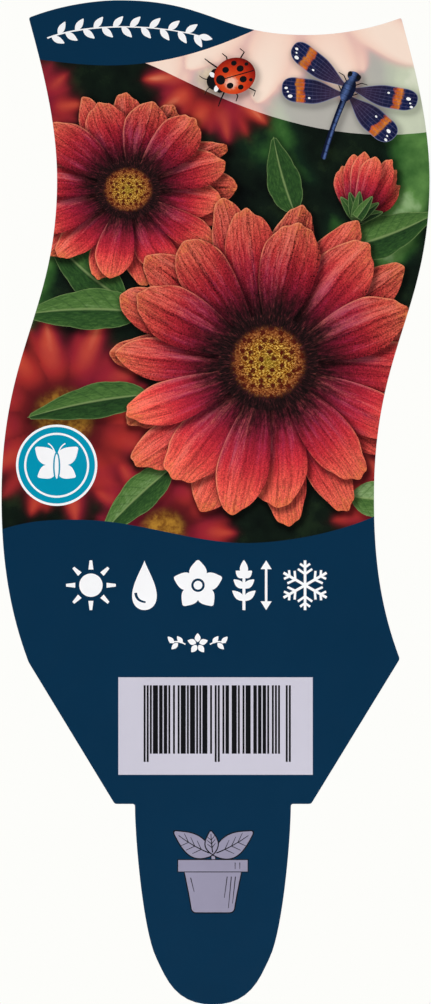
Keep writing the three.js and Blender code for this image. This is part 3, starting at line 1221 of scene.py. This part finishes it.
layers = [
    at_depth(flat, front_y),
    at_depth(out, front_y + rim_round),
    at_depth(out, back_y - rim_round),
    at_depth(flat[rim], back_y),
]
first = np.cumsum([0] + [len(layer) for layer in layers])
count = len(rim)
loops = [rim, first[1] + np.arange(count), first[2] + np.arange(count), first[3] + np.arange(count)]
walls = [
    np.stack([np.roll(a, -1), a, b, np.roll(b, -1)], axis=1) for a, b in zip(loops[:-1], loops[1:])
]
walls = np.concatenate(walls)

label = bpy.data.meshes.new("printed_label")
faces = patches.tolist() + walls.tolist() + (back_patches + first[3]).tolist()
label.from_pydata((np.concatenate(layers) * MM).tolist(), [], faces)


def paint_bare(tree, place):
    """White, with the print on the other side just showing through, blurred by the sheet: round
    shades for the blooms, the veil and the lens, a straight one for the navy, a box for the bars."""
    x, _, z = parts(place)
    wander = speckle(place, 90, 3) * 3

    def shade(away, reach, blur=2.5):
        """1 up to a reach in mm and 0 beyond it, with a blurred and wandering edge."""
        return step(away / MM + wander, reach - blur, reach + blur, 1.0, 0.0)

    def disc(centre, reach):
        """A round shade."""
        across, up = x - centre[0] * MM, z - centre[1] * MM
        return shade((across * across + up * up).put("SQRT"), reach, 7.0)

    below_wave = shade(z, 48)
    navy = below_wave + disc((-14, 147), 22)
    panel = shade(abs(x), 18) * shade(abs(z - 13.4 * MM), 10)
    picture = (1 - below_wave) * (1 - disc((24, 142), 26))
    blooms = disc(near_bloom, 27) + disc(far_bloom, 18)
    white = mix(speckle(place, 1400, 4, 0.6), ink(238, 238, 236), ink(248, 248, 247))
    white = mix(picture * 0.055, white, ink(140, 146, 132))
    white = mix(blooms * 0.035, white, ink(226, 128, 116))
    return mix(navy * (1 - panel * 0.8) * 0.1, white, ink(104, 126, 170))


bare = {"ripple_scale": 1400, "rough_low": 0.42, "rough_high": 0.5, "bump_share": 0.08, "specular": 0.5}
inks["bare_plastic"] = finished("bare_plastic", paint_bare, **bare)

slots = list(inks)
for name in slots:
    label.materials.append(inks[name])
# The veil is never on top and is no ink of its own: the inks under it thin themselves.
slot_of = np.array([slots.index(shape["ink"]) if shape["ink"] in inks else 0 for shape in prints])
slot = np.concatenate([slot_of[top], np.full(len(faces) - len(patches), slots.index("bare_plastic"))])
label.polygons.foreach_set("material_index", slot.astype(np.int32))

spare = len(label.loops) - len(corners)
for name, values in (("grain", grain), ("tone", tone), ("light", light), ("bloom", bloom)):
    kept = label.attributes.new(name, "FLOAT_VECTOR", "CORNER")
    kept.data.foreach_set("vector", np.concatenate([values, np.zeros((spare, 3))]).ravel())

# The print's map on the label: the front takes most of its width, then come the back,
# mirrored, and the cut edge unrolled.
front_span, back_span, edge_span = (0.004, 0.72), (0.735, 0.965), (0.978, 0.996)
upward_span = (0.004, 0.996)
edge_bands = ((0.0, 0.1), (0.1, 0.9), (0.9, 1.0))  # the front rim, the cut and the back rim


def in_span(share, span):
    """The value at this share of the way through a span."""
    return span[0] + share * (span[1] - span[0])


def laid_out(places, span):
    """Places on the sheet as a share of its width within the span, and a share of its height."""
    low, high = sheet_low[[0, 2]], sheet_high[[0, 2]]
    share = (places - low) / (high - low)
    return np.stack([in_span(share[:, 0], span), in_span(share[:, 1], upward_span)], axis=1)


round_the_rim = np.arange(count + 1) / count
rim_share = round_the_rim[np.stack([np.arange(count) + 1, np.arange(count)], axis=1)]
rim_share = in_span(rim_share[:, [0, 1, 1, 0]], upward_span)
edge_map = []
for a, b in edge_bands:
    depth_share = np.broadcast_to(in_span(np.array([a, a, b, b]), edge_span), (count, 4))
    edge_map.append(np.stack([depth_share, rim_share], axis=2).reshape(-1, 2))
mirrored = flat[rim][back_patches].reshape(-1, 2) * (-1, 1) + (sheet_low[0] + sheet_high[0], 0)
print_map = np.concatenate([laid_out(corners, front_span), *edge_map, laid_out(mirrored, back_span)])
label.uv_layers.new(name="OFBake").data.foreach_set("uv", print_map.ravel())
label.update()


def placed(name, data):
    """A new object that shows this mesh, lamp or camera, in the scene."""
    made = bpy.data.objects.new(name, data)
    bpy.context.scene.collection.objects.link(made)
    return made


piece = placed("printed_label", label)
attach(piece, "root")
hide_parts("label_sheet")

# --- Floor, light and camera ---
# A pale studio floor level with the tip of the stake, two large soft lamps in front, one behind, and
# a camera that looks straight at the printed face.

floor_mesh = bpy.data.meshes.new("studio_floor")
floor_z = sheet_low[2] * MM
floor_reach = 0.32
fade_from, fade_to = 0.05, 0.9 * floor_reach  # the floor melts into the backdrop
rim_places = oval((0, 0), floor_reach, count=96)
floor_mesh.from_pydata([(x, y, floor_z) for x, y in rim_places], [], [list(range(len(rim_places)))])
floor = placed("studio_floor", floor_mesh)


def paint_paper(tree, place):
    """Off-white, in faint clouds."""
    return mix(speckle(place, 300, 3), ink(238, 238, 236), ink(244, 244, 242))


matt = {"ripple_scale": 300, "rough_low": 0.85, "rough_high": 0.95, "bump_share": 0.0, "specular": 0.2}
paper = finished("studio_paper", paint_paper, **matt)
tree = paper.node_tree
place = node(tree, "ShaderNodeTexCoord", output="Object")
away = node(tree, "ShaderNodeVectorMath", {0: place}, output="Value", operation="LENGTH")
clear = node(tree, "ShaderNodeBsdfTransparent")
shown = Field(tree, tree.nodes["Principled BSDF"].outputs["BSDF"])
fade = step(away, fade_from, fade_to)
faded = node(tree, "ShaderNodeMixShader", {0: fade, 1: shown, 2: clear})
tree.links.new(faded.socket, tree.nodes["Material Output"].inputs["Surface"])
floor_mesh.materials.append(paper)
floor.visible_glossy = False  # the varnish doesn't mirror the floor

world = bpy.data.worlds.new("studio")
world.use_nodes = True
bpy.context.scene.world = world
sky = world.node_tree
surroundings = node(sky, "ShaderNodeBackground", {"Color": (1, 1, 1, 1), "Strength": 0.05})
backdrop = node(sky, "ShaderNodeBackground", {"Color": ink(253, 253, 250), "Strength": 1.0})
seen = node(sky, "ShaderNodeLightPath", output="Is Camera Ray")
either = node(sky, "ShaderNodeMixShader", {0: seen, 1: surroundings, 2: backdrop})
sky.links.new(either.socket, sky.nodes["World Output"].inputs["Surface"])

label_middle = Vector((0, 0, 0.05))


def soft_lamp(name, place, size, watts):
    """A square lamp that is turned towards the middle of the label."""
    lamp = bpy.data.lights.new(name, "AREA")
    lamp.size = size
    lamp.energy = watts
    holder = placed(name, lamp)
    holder.location = place
    aim = label_middle - Vector(place)
    holder.rotation_euler = aim.to_track_quat("-Z", "Y").to_euler()


soft_lamp("key_lamp", (-0.95, -0.62, 0.5), 0.5, 11.7)
soft_lamp("fill_lamp", (0.95, -0.64, 0.42), 0.6, 11.5)
soft_lamp("back_lamp", (0.38, 1.0, 0.5), 0.6, 11.0)

pixel = 0.1709 * MM
view_columns, view_rows = 431, 1004
axis_column, shoulder_row = 212.9, 804.05  # where the label's x = 0 and z = 0 are in the view
camera_distance = 1.2
camera = bpy.data.cameras.new("camera")
camera.type = "ORTHO"
camera.ortho_scale = view_rows * pixel
viewer = placed("camera", camera)
view_x, view_z = (view_columns / 2 - axis_column) * pixel, (shoulder_row - view_rows / 2) * pixel
viewer.location = (view_x, -camera_distance, view_z)
viewer.rotation_euler = (np.pi / 2, 0, 0)
bpy.context.scene.camera = viewer
bpy.context.scene.view_settings.view_transform = "Standard"
